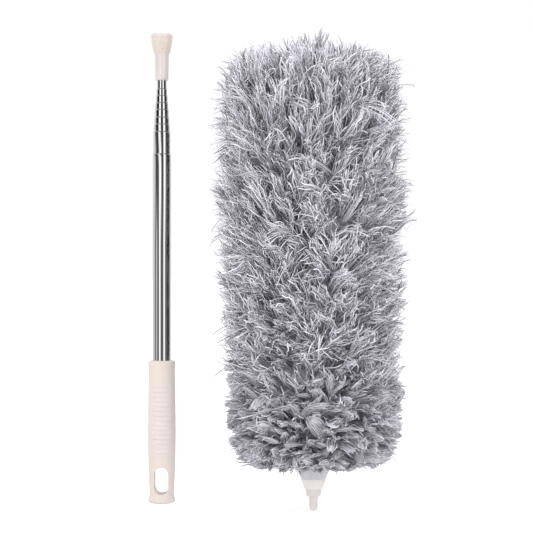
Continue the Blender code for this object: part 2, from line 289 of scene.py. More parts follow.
def strand_material(name):
    """Microfibre: each strand has a lane of the map for its tone; along the lane it goes from a root dimmed
    with painted shade, for the shade deep in the pile, to a pale tip, and across it fine fibre lines run from end to
    end."""
    mat, tree, shader = new_material(name)
    uv = tree.nodes.new("ShaderNodeUVMap")
    uv.uv_map = "OFBake"
    sep = tree.nodes.new("ShaderNodeSeparateXYZ")
    tree.links.new(uv.outputs[0], sep.inputs[0])
    lane_f = maths(tree, "MULTIPLY", sep.outputs[0], float(TONES))
    lane = maths(tree, "FLOOR", lane_f)
    across = maths(tree, "FRACT", lane_f)
    along = sep.outputs[1]
    tone = maths(tree, "DIVIDE", lane, TONES - 1.0)
    point = tree.nodes.new("ShaderNodeCombineXYZ")
    tree.links.new(maths(tree, "MULTIPLY_ADD", lane, 3.17, maths(tree, "MULTIPLY", across, 5.0)), point.inputs[0])
    tree.links.new(maths(tree, "MULTIPLY", along, 1.6), point.inputs[1])
    tree.links.new(maths(tree, "MULTIPLY", lane, 0.71), point.inputs[2])
    lines = noise(tree, point.outputs[0], 1.6, 3.0, 0.6)
    patch_at = tree.nodes.new("ShaderNodeCombineXYZ")
    tree.links.new(maths(tree, "MULTIPLY", lane, 5.3), patch_at.inputs[0])
    tree.links.new(maths(tree, "MULTIPLY", along, 4.0), patch_at.inputs[1])
    patch = noise(tree, patch_at.outputs[0], 1.0, 2.0)
    # tone from the lane, the fibre lines and slow patches
    value = maths(tree, "MULTIPLY_ADD", tone, 0.95, -0.04)
    value = maths(tree, "MULTIPLY_ADD", maths(tree, "SUBTRACT", lines, 0.5), 1.15, value)
    value = maths(tree, "MULTIPLY_ADD", maths(tree, "SUBTRACT", patch, 0.5), 0.35, value, clamp=True)
    colour = ramp(
        tree, value,
        [
            (0.0, (0.17, 0.167, 0.178)), (0.3, (0.55, 0.543, 0.59)), (0.6, (0.78, 0.772, 0.84)),
            (0.85, (0.91, 0.903, 0.965)), (1.0, (0.975, 0.97, 0.99)),
        ],
    )
    # painted shade: every strand's colour is darkened towards its root, where the pile shades it
    depth = ramp(
        tree, along,
        [(0.0, 0.66), (0.30, 0.77), (0.52, 0.90), (0.75, 0.98), (1.0, 1.0)],
    )
    tree.links.new(mix_colour(tree, 1.0, colour, depth, "MULTIPLY"), shader.inputs["Base Color"])
    tree.links.new(maths(tree, "MULTIPLY_ADD", lines, 0.22, 0.40), shader.inputs["Roughness"])
    shader.inputs["Specular IOR Level"].default_value = 0.45
    shader.inputs["Sheen Weight"].default_value = 0.18
    shader.inputs["Sheen Roughness"].default_value = 0.35
    bump(tree, shader, lines, 0.00015, 0.5)
    return mat


ivory = moulded_plastic("ivory_plastic", (0.595, 0.522, 0.475), (0.585, 0.515, 0.480))
grip_ivory = moulded_plastic("ivory_grip_plastic", (0.595, 0.522, 0.475), (0.585, 0.515, 0.480), panel=(0.590, 0.522, 0.508))
# painted light, partly: the plug's cream and pink plastics are their own colours, made paler than the grip's to cancel
# the shade the head casts on them
plug_white_with_painted_light = moulded_plastic("plug_plastic", (0.77, 0.735, 0.685), (0.76, 0.73, 0.69), 0.4)
plug_pink_with_painted_light = moulded_plastic("plug_plastic_pink", (0.69, 0.645, 0.615), (0.68, 0.645, 0.62), 0.36)
socket_ivory = socket_plastic("socket_ivory_plastic")
black = moulded_plastic("black_plastic", (0.035, 0.035, 0.038), (0.05, 0.05, 0.052), 0.5, 0.2)
steel = drawn_steel("stainless_tube", (0.86, 0.85, 0.845), 0.045, 0.35)
wire = drawn_steel("steel_wire", (0.62, 0.62, 0.63), 0.28)
brass = speckled("brass_leaf", (0.62, 0.45, 0.20), (0.75, 0.58, 0.30), 0.34, 1.0, 500.0, 0.00003)
foam = speckled("core_foam", (0.70, 0.70, 0.69), (0.84, 0.84, 0.83), 0.9, 0.0, 1400.0, 0.0003)
cloth = knit_cloth("cover_cloth", (0.30, 0.30, 0.325), (0.62, 0.62, 0.67), 7000.0)
cloth_pale = knit_cloth("cover_cloth_pale", (0.50, 0.50, 0.53), (0.78, 0.78, 0.83), 9000.0)
rubber = speckled("tip_rubber", (0.22, 0.22, 0.235), (0.32, 0.32, 0.335), 0.6, 0.0, 700.0, 0.00008)
# painted shade, partly: a real inner pile of fibre, coloured darker than the strands' tips so the gaps between tufts
# read dark
under_fibre_painted_shade = speckled("under_fibre_painted_shade", (0.36, 0.36, 0.385), (0.62, 0.615, 0.65), 0.92, 0.0, 260.0, 0.0012)
strand = strand_material("microfibre_strands")


# ------------------------------------------------------------------ mesh helpers
def build_mesh(name, verts, quads, tris, mat, uv=None, smooth=True):
    """A mesh object from arrays: verts (n,3) in metres, quads (m,4), tris (k,3), uv (n,2)."""
    mesh = bpy.data.meshes.new(name)
    corners = np.concatenate([np.asarray(quads, np.int32).ravel(), np.asarray(tris, np.int32).ravel()])
    nq, nt = len(quads), len(tris)
    mesh.vertices.add(len(verts))
    mesh.vertices.foreach_set("co", np.asarray(verts, np.float32).ravel())
    mesh.loops.add(len(corners))
    mesh.loops.foreach_set("vertex_index", corners)
    mesh.polygons.add(nq + nt)
    starts = np.concatenate([np.arange(nq) * 4, nq * 4 + np.arange(nt) * 3]).astype(np.int32)
    mesh.polygons.foreach_set("loop_start", starts)
    mesh.polygons.foreach_set("use_smooth", np.full(nq + nt, smooth))
    if uv is not None:
        layer = mesh.uv_layers.new(name="OFBake")
        layer.data.foreach_set("uv", np.asarray(uv, np.float32)[corners].ravel())
    mesh.update(calc_edges=True)
    mesh.validate()
    mesh.materials.append(mat)
    obj = bpy.data.objects.new(name, mesh)
    bpy.context.scene.collection.objects.link(obj)
    return obj


def fillet(points, steps=4):
    """A closed or open (r, z, fillet) line with its corners rounded; returns (r, z) points."""
    made = []
    n = len(points)
    for i, p in enumerate(points):
        r = p[2] if len(p) > 2 else 0.0
        here = np.array(p[:2], float)
        if r <= 0:
            made.append(tuple(here))
            continue
        a, b = np.array(points[i - 1][:2], float), np.array(points[(i + 1) % n][:2], float)
        u, v = a - here, b - here
        lu, lv = np.linalg.norm(u), np.linalg.norm(v)
        u, v = u / lu, v / lv
        half = math.acos(max(-1, min(1, float(u @ v)))) / 2
        cut = min(r / math.tan(half), lu * 0.45, lv * 0.45)
        p0, p1 = here + u * cut, here + v * cut
        for k in range(steps + 1):
            t = k / steps
            made.append(tuple((1 - t) ** 2 * p0 + 2 * t * (1 - t) * here + t * t * p1))
    return made


def lathe(name, profile, mat, axis_x=0.0, sides=96, closed=True, shape=None, sharp=32.0):
    """Turns (r, z) points, down the outer side, about x = axis_x. shape(angle, r, z) may return a new
    radius and height. An open profile starts and ends on the axis."""
    pts = np.array(profile, float)
    ang = np.arange(sides) * math.tau / sides
    rr = np.repeat(pts[:, 0][:, None], sides, 1)
    zz = np.repeat(pts[:, 1][:, None], sides, 1)
    aa = np.repeat(ang[None, :], len(pts), 0)
    if shape is not None:
        rr, zz = shape(aa, rr, zz)
    x = rr * np.cos(aa) + axis_x
    y = rr * np.sin(aa)
    grid = np.stack([x, y, zz], -1) * MM
    bm = bmesh.new()
    rings = []
    for i in range(len(pts)):
        if not closed and pts[i, 0] < 1e-6:
            rings.append([bm.verts.new(grid[i, 0])])
        else:
            rings.append([bm.verts.new(grid[i, j]) for j in range(sides)])
    count = len(pts) if closed else len(pts) - 1
    for i in range(count):
        a, b = rings[i], rings[(i + 1) % len(pts)]
        for j in range(sides):
            k = (j + 1) % sides
            if len(a) == 1 and len(b) == 1:
                continue
            if len(a) == 1:
                bm.faces.new((a[0], b[j], b[k]))
            elif len(b) == 1:
                bm.faces.new((a[j], b[0], a[k]))
            else:
                bm.faces.new((a[j], b[j], b[k], a[k]))
    bmesh.ops.recalc_face_normals(bm, faces=bm.faces)
    mesh = bpy.data.meshes.new(name)
    bm.to_mesh(mesh)
    bm.free()
    mesh.shade_smooth()
    mesh.set_sharp_from_angle(angle=math.radians(sharp))
    mesh.materials.append(mat)
    obj = bpy.data.objects.new(name, mesh)
    bpy.context.scene.collection.objects.link(obj)
    return obj


def apply_modifiers(obj):
    graph = bpy.context.evaluated_depsgraph_get()
    mesh = bpy.data.meshes.new_from_object(obj.evaluated_get(graph), depsgraph=graph)
    obj.modifiers.clear()
    obj.data = mesh


def fit(obj, body, slot, *nodes):
    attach(obj, body)
    if nodes:
        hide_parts(*nodes)
    return obj


# ------------------------------------------------------------------ the pole's tubes
WALL = [0.25, 0.25, 0.20, 0.20, 0.20, 0.20, 0.20, 0.20, 0.25]
BODY = ["grip"] + [f"section_{k}" for k in range(2, 10)]
for k in range(1, 10):
    low, high = mm_box(f"tube_{k}")
    r, wall, top, bottom = high.x, WALL[k - 1], high.z, low.z
    if k < 9:
        inner = mm_box(f"tube_{k + 1}")[1].x + 0.05
        # the mouth is rolled in, which leaves a bright rounded lip and a groove under it
        profile = fillet(
            [
                (inner, top, 0.1), (r - 0.03, top, 0.25), (r, top - 0.45, 0.12),
                (r - 0.35, top - 0.98, 0.08), (r - 0.01, top - 1.35, 0.1), (r, top - 2.2), (r, top - 20),
                (r, (top + bottom) / 2), (r, bottom, 0.08), (r - wall, bottom),
                (r - wall, top - 2.4), (inner, top - 1.7),
            ],
            4,
        )
    else:
        profile = fillet(
            [(r - wall, top), (r, top, 0.08), (r, top - 30), (r, bottom + 20), (r, bottom, 0.08), (r - wall, bottom)], 3
        )
    tube = lathe(f"steel_tube_{k}", profile, steel, sides=96)
    fit(tube, BODY[k - 1], "stainless_tube", f"tube_{k}")

# ------------------------------------------------------------------ the grip
low, high = mm_box("grip_sleeve")
grip_r, seam = high.x, low.z + 0.0
ring_low, ring_high = mm_box("grip_end_ring")
cap_low, cap_high = mm_box("hanger_end_cap")
bore = 9.0
sleeve_low, sleeve_high = -33.6, 50.4


def belly(z):
    """How much the grip's outside swells at its middle, narrows below the mouth and flares at the mouth."""
    return np.interp(
        z,
        [-33.6, -28.0, -20.0, -12.0, -3.0, 6.0, 15.6, 22.0, 29.6, 36.0, 41.7, 45.5, 48.0, 49.4, 50.4],
        [0.22, 0.34, 0.46, 0.50, 0.44, 0.34, 0.20, 0.06, -0.10, -0.22, -0.30, -0.32, -0.27, -0.19, -0.12],
    )


def rib_shape(aa, rr, zz):
    """Fine horizontal ribs on a soft-edged rectangular panel at the front and at the back."""
    on = rr > grip_r - 0.1
    rr = np.where(on, rr + belly(zz), rr)
    out = rr.copy()
    facing = np.abs(np.sin(aa))
    side = np.degrees(np.arccos(np.clip(facing, 0, 1)))
    mask = 1 / (1 + np.exp((side - 40.0) / 1.0))
    pitch = 4.4
    phase = (zz / pitch) % 1.0
    phase = np.minimum(phase, 1 - phase)  # 0 at a groove's middle
    groove = np.clip(1 - phase / 0.2, 0, 1)
    groove = groove * groove * (3 - 2 * groove)
    ends = np.clip((33.4 - np.abs(zz)) / 0.7, 0, 1)
    sunk = mask * ends
    out = np.where(on, rr - sunk * (0.10 + 0.42 * groove), out)
    return out, zz


rows = list(np.arange(34.6, -33.3, -0.22))
outer = [(grip_r, z) for z in (50.4, 49.9, 49.4, 48.7, 48.0, 47.2, 46.3, 45.4, 44.0, 42.0, 40.0, 38.0, 36.0)]
outer += [(grip_r, z) for z in rows]
outer[0] = (grip_r - 0.08, 50.4)
outer.insert(1, (grip_r - 0.02, 50.34))
profile = [(bore, 40.0), (10.3, 40.0), (10.3, 50.4)] + outer + [
    (grip_r - 0.01, -33.54), (grip_r - 0.06, -33.6), (10.4, -33.6), (10.4, -22.0), (bore, -22.0),
]
sleeve = lathe("ribbed_grip_sleeve", profile, grip_ivory, sides=216, shape=rib_shape)
fit(sleeve, "grip", "ivory_plastic", "grip_sleeve")

profile = fillet(
    [
        (bore, ring_high.z, 0.25), (grip_r - 1.1, ring_high.z, 0.3), (grip_r + 0.05, ring_high.z - 0.75, 0.4),
        (grip_r - 0.14, 50.43, 0.05), (10.0, 50.43), (10.0, 40.4), (bore, 40.4),
    ],
    5,
)
fit(lathe("grip_lip_ring", profile, ivory, sides=120), "grip", "ivory_plastic", "grip_end_ring")

# the hanger end: turned body with the waist and the flared butt, then the long slot with eased edges
profile = fillet(
    [
        (0.0, -32.0), (9.15, -32.0), (9.15, -22.6), (10.1, -22.6), (10.1, -33.64), (12.9, -33.64, 0.06),
        (12.72, -40.0), (12.4, -50.0, 4.0), (12.0, -60.0, 4.0), (11.55, -67.5, 3.0), (11.6, -70.6, 3.0),
        (12.8, -74.6, 1.6), (12.5, -76.4, 1.4), (11.0, cap_low.z, 0.8), (0.0, cap_low.z),
    ],
    5,
)
hanger = lathe("hanger_end", profile, ivory, sides=144, closed=False)


def slot_prism(name, half, z_top, z_bottom, depth):
    bm = bmesh.new()
    outline = []
    for centre, start in ((z_top - half, 0.0), (z_bottom + half, 180.0)):
        for i in range(25):
            a = math.radians(start + i * 7.5)
            outline.append(bm.verts.new((half * math.cos(a) * MM, -depth * MM, (centre + half * math.sin(a)) * MM)))
    face = bm.faces.new(outline)
    made = bmesh.ops.extrude_face_region(bm, geom=[face])
    bmesh.ops.translate(bm, vec=(0, 2 * depth * MM, 0), verts=[v for v in made["geom"] if isinstance(v, bmesh.types.BMVert)])
    bmesh.ops.recalc_face_normals(bm, faces=bm.faces)
    mesh = bpy.data.meshes.new(name)
    bm.to_mesh(mesh)
    bm.free()
    obj = bpy.data.objects.new(name, mesh)
    bpy.context.scene.collection.objects.link(obj)
    return obj


cutter = slot_prism("slot_cutter", 6.45, -43.7, -69.1, 20.0)
cut = hanger.modifiers.new("slot", "BOOLEAN")
cut.operation, cut.solver, cut.object = "DIFFERENCE", "EXACT", cutter
ease = hanger.modifiers.new("ease", "BEVEL")
ease.width, ease.segments, ease.limit_method, ease.angle_limit = 0.45 * MM, 3, "ANGLE", math.radians(50)
ease.use_clamp_overlap = True
bpy.context.view_layer.update()
apply_modifiers(hanger)
bpy.data.objects.remove(cutter)
hanger.data.shade_smooth()
hanger.data.set_sharp_from_angle(angle=math.radians(35))
fit(hanger, "grip", "ivory_plastic", "hanger_end_cap")

# ------------------------------------------------------------------ the socket
rim_low, rim_high = mm_box("socket_cup")
rim_z, rim_r = rim_high.z, rim_high.x
sock_low, sock_high = mm_box("socket_sleeve")


def crown(aa):
    """Height of the scalloped edge where the flared body ends and the neck begins."""
    return 344.6 + 4.2 * np.abs(np.cos(3.5 * aa + 1.44)) ** 0.7


def cup_shape(aa, rr, zz):
    """Upright flutes under the rim, and the body standing proud of the neck along a scalloped edge."""
    out = rr.copy()
    skin = (zz < 357.9) & (rr > 6.3)
    lobes = 0.5 - 0.5 * np.cos(14 * aa)
    fade = np.clip((357.9 - zz) / 1.2, 0, 1) * np.clip((zz - crown(aa)) / 2.0, 0, 1)
    step = np.clip((crown(aa) - zz) / 0.5, 0, 1)
    step = step * step * (3 - 2 * step)
    out = np.where(skin, rr - 0.20 * lobes * fade - 0.34 * step, out)
    return out, zz


body = [(9.98, 357.9), (9.95, 356.5), (9.82, 354.5), (9.55, 352.6), (9.2, 350.9), (8.8, 349.2), (8.35, 347.6), (7.95, 346.2),
        (7.58, 344.8), (7.3, 343.5), (7.12, 342.2), (7.02, 340.5), (6.98, 338.0), (6.94, 335.0)]
fine = np.arange(357.6, 340.6, -0.3)
skin = [(float(np.interp(-z, [-b[1] for b in body], [b[0] for b in body])), float(z)) for z in fine]
profile = fillet(
    [
        (0.0, 341.0), (4.3, 341.0), (4.85, 355.0), (7.15, 355.2), (8.35, rim_z, 0.2),
        (9.65, rim_z, 0.7), (rim_r, rim_z - 1.5, 1.0), (rim_r, 359.4, 0.7), (10.05, 358.3, 0.3),
    ] + skin + [(7.0, 338.6), (6.96, 336.4), (6.94, 334.7), (6.92, 334.47), (5.8, 334.47), (5.8, 339.4), (0.0, 339.4)],
    4,
)
cup = lathe("socket_cup_flared", profile, socket_ivory, sides=168, closed=False, shape=cup_shape, sharp=45)
fit(cup, "section_9", "ivory_plastic", "socket_cup")


def neck_shape(aa, rr, zz):
    """Five barely raised ribs down the neck."""
    out = rr.copy()
    skin = (rr > 5.9) & (zz < 334.4)
    lobes = 0.5 - 0.5 * np.cos(5 * aa)
    fade = np.clip((334.3 - zz) / 2.0, 0, 1) * np.clip((zz - sock_low.z - 0.5) / 1.5, 0, 1)
    out = np.where(skin, rr - 0.12 * lobes * fade, out)
    return out, zz


profile = [(4.7, 339.0), (5.45, 339.0), (5.45, 334.45), (6.59, 334.45), (6.595, 334.42)]
profile += [(6.59 - 0.24 * t, 334.2 - 13.2 * t) for t in np.linspace(0.03, 1, 16)]
profile += [(6.25, 320.4), (6.05, sock_low.z + 0.25), (5.7, sock_low.z), (4.7, sock_low.z)]
flutes = lathe("socket_neck", profile, socket_ivory, sides=160, shape=neck_shape, sharp=50)
fit(flutes, "section_9", "ivory_plastic", "socket_sleeve")

# ------------------------------------------------------------------ the head's plug and skirt
plug_low, plug_high = mm_box("head_plug")
capb_low, capb_high = mm_box("head_plug_cap")
head_x = (plug_low.x + plug_high.x) / 2
top = capb_low.z
profile = fillet(
    [
        (0.0, -70.0), (1.95, -70.0), (1.95, -38.0), (6.4, -38.0), (6.4, -54.0), (6.9, -54.3),
        (6.9, top + 0.2), (7.95, top + 0.2, 0.15), (6.85, -71.0, 0.4), (6.3, -71.4, 0.3), (4.6, -71.4, 0.25),
        (4.35, -72.4, 0.3), (3.98, -80.5, 2.0), (3.05, -83.9, 1.2), (1.6, plug_low.z, 0.8), (0.0, plug_low.z),
    ],
    5,
)
plug = lathe("plug_and_spigot", profile, plug_pink_with_painted_light, axis_x=head_x, sides=96, closed=False, sharp=40)
fit(plug, "head_lower", "plug_plastic", "head_plug")
profile = fillet(
    [
        (7.2, -46.0), (10.2, -46.0), (10.2, -54.6), (11.5, -54.6, 0.35), (11.75, -55.2, 0.3), (11.5, -56.7, 0.8),
        (8.95, top, 0.25), (8.25, top), (8.25, top + 0.5), (7.2, top + 0.5),
    ],
    5,
)
cone = lathe("plug_cone", profile, plug_white_with_painted_light, axis_x=head_x, sides=96, sharp=40)
fit(cone, "head_lower", "plug_plastic", "head_plug_cap")


def skirt_shape(aa, rr, zz):
    """Gathers: folds that are deep at the top and die out where the cloth enters the cap."""
    t = np.clip((zz + 54.3) / 10.4, 0, 1)
    fold = 0.75 * np.sin(11 * aa + 0.9 * np.sin(2 * aa)) + 0.40 * np.sin(19 * aa + 1.3)
    return rr + fold * (0.25 + 0.85 * t), zz + 0.5 * t * np.sin(5 * aa + 1.0)


profile = [(13.4, -43.6), (14.6, -43.6), (14.75, -45.0), (14.35, -47.0), (13.7, -49.2), (12.95, -51.4), (12.35, -53.2),
           (11.95, -54.3), (11.85, -54.57), (11.0, -54.57), (11.5, -53.0), (12.2, -51.0), (12.9, -48.5), (13.3, -46.0)]
skirt = lathe("gathered_skirt", profile, cloth_pale, axis_x=head_x, sides=180, shape=skirt_shape, sharp=80)
fit(skirt, "head_lower", "cover_cloth", "cover_skirt")

# ------------------------------------------------------------------ carried-over inner pieces
finish_of = {"tail_plug": black, "core_tip_cap": rubber}
for k in range(2, 10):
    finish_of[f"friction_bush_{k}"] = black if k < 4 else brass
for part in ("lower", "middle", "upper"):
    finish_of[f"core_wire_{part}"] = wire
    finish_of[f"foam_core_{part}"] = foam
    finish_of[f"cover_backing_{part}"] = cloth
for node, mat in finish_of.items():
    obj = frame["nodes"][node]
    obj.data.materials.clear()
    obj.data.materials.append(mat)

# ------------------------------------------------------------------ the microfibre head
rng = np.random.default_rng(20)
# the pile's outline: radius, height, and the way a tuft's end points there (degrees above level)
OUTLINE = np.array([
    (9.0, -39.5, -76), (26, -42.5, -62), (46, -42.5, -48), (62, -41, -36), (73, -34, -26), (78.5, -24, -16),
    (81, -9, -6), (82.5, 10, 4), (83, 35, 12), (84, 66, 20), (85.5, 85, 23), (87.5, 104, 25), (88.5, 122, 26),
    (87, 141, 26), (87, 170, 27), (89, 200, 28), (92, 216, 28), (89, 235, 30), (86.5, 272, 32), (87, 305, 39),
    (85.5, 325, 50), (78, 340, 59), (67, 346, 67), (49, 347, 75), (30, 350, 81), (12, 357, 85), (0.5, 366, 88),
], float)
seg = np.diff(OUTLINE[:, :2], axis=0)
seg_len = np.hypot(seg[:, 0], seg[:, 1])
seg_area = seg_len * (OUTLINE[:-1, 0] + OUTLINE[1:, 0]) / 2
seg_cdf = np.concatenate([[0], np.cumsum(seg_area)]) / seg_area.sum()


def on_outline(share):
    """Radius, height and end direction at a share of the outline's area, from the bottom up."""
    return [np.interp(share, seg_cdf, OUTLINE[:, c]) for c in range(3)]


FINE = 27  # stations along a guide, s from 0 at the root to 1.12
S_MAX = 1.12


def make_guides(share, azimuth, length, inset, bend, lean, droop=0.0):
    """Guide curves of tufts: (n, FINE, 3) points, and unit tangents, binormals and normals (mm)."""
    n = len(share)
    radius, height, end = on_outline(share)
    s = np.linspace(0, S_MAX, FINE)[None, :]
    e1 = np.radians(end + droop)[:, None]
    cap = np.where(height < -20, np.interp(radius, [10, 45, 75], [-48, -18, 40]), 93.0)
    e1 = np.minimum(e1, np.radians(cap)[:, None])
    e0 = np.minimum(e1 + np.radians(bend)[:, None], np.radians(cap)[:, None])
    e = e0 + (e1 - e0) * s ** 1.3
    tau = np.radians(lean)[:, None] * (0.25 + 0.75 * s)
    d = np.stack([np.cos(e) * np.cos(tau), np.cos(e * 0.3) * np.sin(tau), np.sin(e) * np.cos(tau)], -1)
    d /= np.linalg.norm(d, axis=-1, keepdims=True)
    step = S_MAX / (FINE - 1)
    path = np.cumsum((d[:, :-1] + d[:, 1:]) / 2 * step, axis=1)
    path = np.concatenate([np.zeros((n, 1, 3)), path], 1) * length[:, None, None]
    at_end = path[:, int(round(1.0 / step))]
    tip = np.stack([radius, np.zeros(n), height], -1) - d[:, -1] * inset[:, None]
    path = path + (tip - at_end)[:, None, :]
    c, sn = np.cos(azimuth)[:, None], np.sin(azimuth)[:, None]

    def world(v):
        return np.stack([v[..., 0] * c - v[..., 1] * sn, v[..., 0] * sn + v[..., 1] * c, v[..., 2]], -1)

    across = np.zeros_like(d)
    across[..., 1] = 1.0
    across -= (across * d).sum(-1, keepdims=True) * d
    across /= np.linalg.norm(across, axis=-1, keepdims=True)
    normal = np.cross(across, d)
    return world(path), world(d), world(across), world(normal)


def sample(field, tuft, s):
    """field (n, FINE, 3) at station s (m, k) of each strand's tuft (m)."""
    f = np.clip(s / S_MAX, 0, 1) * (FINE - 1)
    i = np.minimum(f.astype(int), FINE - 2)
    t = (f - i)[..., None]
    return field[tuft[:, None], i] * (1 - t) + field[tuft[:, None], i + 1] * t


def unit(v):
    return v / np.maximum(np.linalg.norm(v, axis=-1, keepdims=True), 1e-9)


def make_strands(guides, tuft, start, stop, off_a, off_b, gather, width, roll, tone, stations, section, thick,
                 wiggle, curl, cup=0.0, blunt=False, hook=None, fan=False, beat=None):
    """Closed strands along their tufts. section lists (across, outward) corners of the cross-section.
    Returns points (m, v, 3), one strand's quads and tris, and map points (m, v, 2)."""
    path, tangent, across, normal = guides
    m = len(tuft)
    st = np.array(stations)[None, :]
    s = start[:, None] + (stop - start)[:, None] * st
    p = sample(path, tuft, s)
    t = unit(sample(tangent, tuft, s))
    b = unit(sample(across, tuft, s))
    n = unit(sample(normal, tuft, s))
    dome = np.sqrt(np.clip(1 - (np.clip(st - 0.66, 0, 1) / 0.345) ** 2, 0.0, 1)) * (0.35 + 0.65 * np.clip(st / 0.5, 0, 1) ** 0.8)
    if fan:
        spread = np.broadcast_to(dome, s.shape)[..., None]
    else:
        spread = (0.25 + s ** 0.8 * (1.05 - gather[:, None] * s ** 2.2))[..., None]
    p = p + (b * off_a[:, None, None] + n * off_b[:, None, None]) * spread
    if beat is None:
        ph = rng.uniform(0, math.tau, (2, m))[:, :, None]
        fr = rng.uniform(0.7, 2.0, (2, m))[:, :, None]
    else:
        ph = (beat[1:3] + rng.normal(0, 0.9, (2, m)))[:, :, None]
        fr = (beat[0] * rng.uniform(0.75, 1.3, (2, m)))[:, :, None]
    wa = (wiggle[:, None] * st ** 1.5)[..., None]
    p = p + b * wa * np.sin(math.tau * fr[0] * st + ph[0])[..., None]
    p = p + n * wa * np.sin(math.tau * fr[1] * st + ph[1])[..., None]
    ca = rng.uniform(0, math.tau, m) if hook is None else hook + rng.normal(0, 0.7, m)
    cv = (curl[:, None] * st ** 4)[..., None]
    p = p + (b * np.cos(ca)[:, None, None] + n * np.sin(ca)[:, None, None]) * cv
    # frame along the bent line
    tan = unit(np.gradient(p, axis=1))
    rollv = roll[:, None, None]
    side = unit(b * np.cos(rollv) + n * np.sin(rollv))
    side = unit(side - (side * tan).sum(-1, keepdims=True) * tan)
    up = np.cross(tan, side)
    if blunt:
        taper = dome
    else:
        taper = np.sqrt(np.clip((1.0 - st) / 0.08, 0.0, 1)) * (0.6 + 0.4 * np.clip(st / 0.45, 0, 1)) * (1.10 - 0.26 * st)
    half = (width[:, None] * taper / 2)[..., None]
    corners = []
    for ca_, co_ in section:
        corners.append(p + side * ca_ * half + up * (co_ * half * (1.0 if not blunt else cup) if co_ >= 0 else co_ * thick))
    pts = np.stack(corners, 2)  # (m, k, c, 3)
    k, c = len(stations), len(section)
    body = pts[:, :-1].reshape(m, (k - 1) * c, 3)
    tip = p[:, -1:, :]
    pts = np.concatenate([body, tip], 1)
    quads, tris = [], []
    for i in range(k - 2):
        for j in range(c):
            j2 = (j + 1) % c
            quads.append((i * c + j, i * c + j2, (i + 1) * c + j2, (i + 1) * c + j))
    last = (k - 2) * c
    for j in range(c):
        tris.append((last + j, last + (j + 1) % c, (k - 1) * c))
    if c == 3:
        tris.append((2, 1, 0))
    elif c == 4:
        quads.append((3, 2, 1, 0))
    else:
        quads.append((5, 4, 1, 0))
        quads.append((4, 3, 2, 1))
    lane = np.clip(np.round(tone * (TONES - 1)), 0, TONES - 1)
    u = np.array([ca_ for ca_, _ in section]) * 0.40 + 0.5
    uu = (lane[:, None, None] + u[None, None, :]) / TONES
    uu = np.broadcast_to(uu, (m, k - 1, c))
    vv = np.broadcast_to(np.array(stations[:-1])[None, :, None] * 0.97 + 0.015, (m, k - 1, c))
    uv = np.stack([uu, vv], -1).reshape(m, (k - 1) * c, 2)
    tip_uv = np.stack([(lane + 0.5) / TONES, np.full(m, 0.985)], -1)[:, None, :]
    uv = np.concatenate([uv, tip_uv], 1)
    return pts, np.array(quads), np.array(tris), uv


THIN = [(-1.0, 0.0), (1.0, 0.0), (0.0, 0.75)]
WIDE = [(-1.0, 0.0), (-0.42, -1.0), (0.42, -1.0), (1.0, 0.0), (0.42, 0.42), (-0.42, 0.42)]
batches = []  # (points, quads, tris, uv)


def petal_share(z):
    """How far a tuft at this height is made of broad blunt petals instead of fine strands."""
    return np.clip((62.0 - z) / 70.0, 0.0, 1.0)


